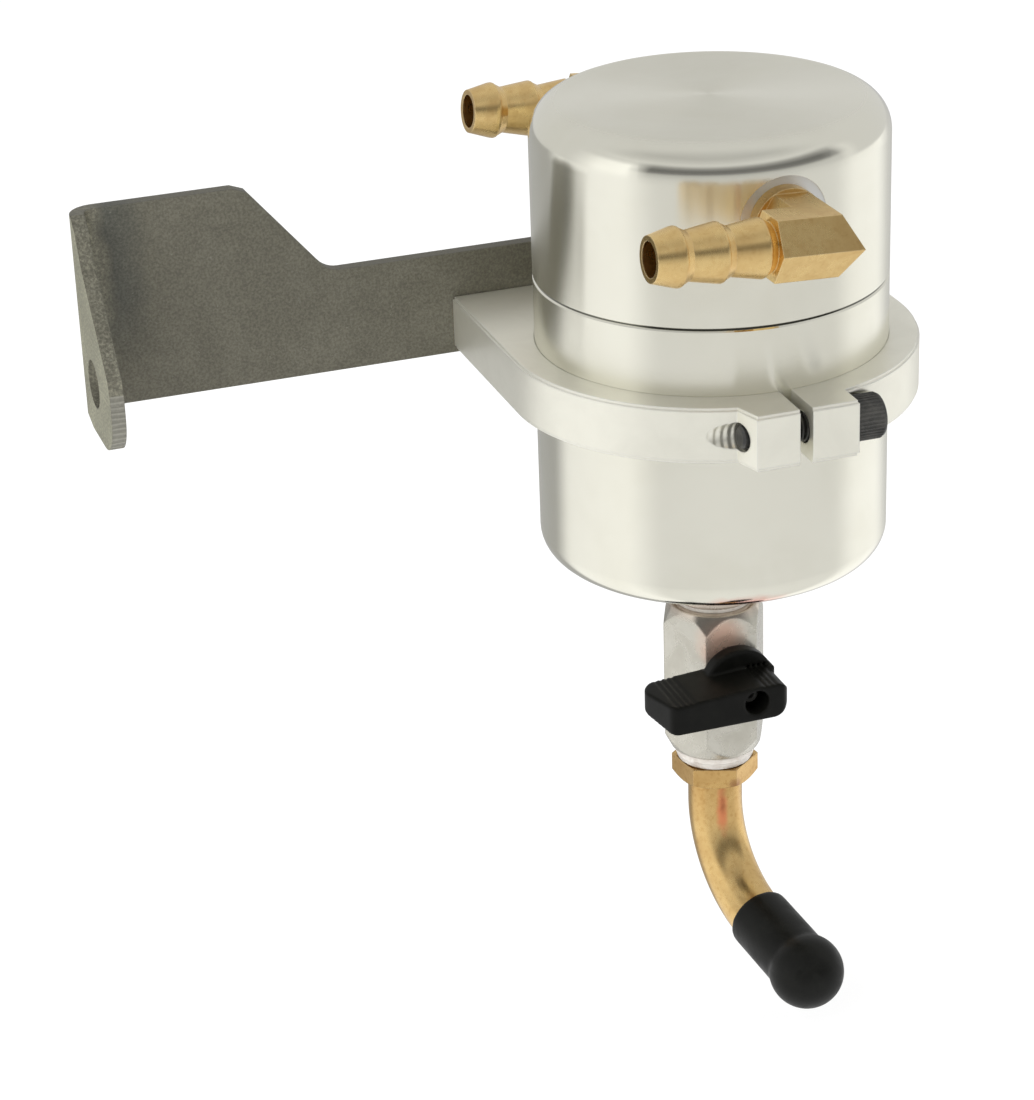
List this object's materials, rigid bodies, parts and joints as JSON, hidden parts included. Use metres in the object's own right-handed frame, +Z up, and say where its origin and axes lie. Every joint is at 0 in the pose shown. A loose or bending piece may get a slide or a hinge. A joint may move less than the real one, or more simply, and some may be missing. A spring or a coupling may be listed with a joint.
{
  "type": "oil catch can",
  "caption": "Aluminium oil catch can held in a split clamp on a folded steel bracket, with hose elbows, a drain valve and a capped drain tube.",
  "frame": {"origin": "centre of the bracket's bolt hole, on the outer face of the folded tab", "axes": "+X from the tab along the arm to the can, -Y towards the front elbow and the clamp's split, +Z up"},
  "size_m": [0.181, 0.1239, 0.2105],
  "materials": {
    "polished_aluminium": "polished",
    "satin_aluminium": "satin",
    "mill_steel": "bare hot-rolled",
    "black_steel": "black oxide",
    "spring_steel": "phosphated",
    "stainless": "plain",
    "steel_wool": "fine wire",
    "nickel_plate": "satin nickel",
    "chrome": "polished",
    "brass": "machined",
    "thread_tape": "waxy",
    "black_plastic": "moulded",
    "black_rubber": "matt"
  },
  "bodies": {
    "can": {"can_body": "polished_aluminium", "cap_o_ring": "black_rubber", "lower_screen": "stainless", "upper_screen": "stainless", "wool_pack": "steel_wool", "screen_clip": "spring_steel", "clamp": "satin_aluminium", "clamp_screw": "black_steel", "bracket": "mill_steel", "bracket_screws": "black_steel", "bracket_washers": "stainless", "drain_nipple": "nickel_plate", "nipple_tape": "thread_tape", "valve_body": "nickel_plate", "valve_end": "nickel_plate", "valve_seats": "thread_tape", "drain_fitting": "brass", "fitting_tape": "thread_tape", "drain_tube": "brass"},
    "cap": {"can_cap": "polished_aluminium", "front_elbow": "brass", "rear_elbow": "brass"},
    "lever": {"valve_lever": "black_plastic", "lever_screw": "stainless", "valve_stem": "nickel_plate", "stem_seals": "black_rubber", "valve_ball": "chrome"},
    "drain_cap": {"rubber_cap": "black_rubber"}
  },
  "joints": [
    {"name": "cap_lift", "type": "slide", "parent": "can", "child": "cap", "axis": [0, 0, 1], "range_m": [0, 0.03]},
    {"name": "valve_turn", "type": "hinge", "parent": "can", "child": "lever", "pos_m": [0.1345, -0.0314, -0.0789], "axis": [0, -1, 0], "range_deg": [0, 90]},
    {"name": "drain_cap_pull", "type": "slide", "parent": "can", "child": "drain_cap", "axis": [0.1541, -0.9727, -0.1736], "range_m": [0, 0.03]}
  ]
}
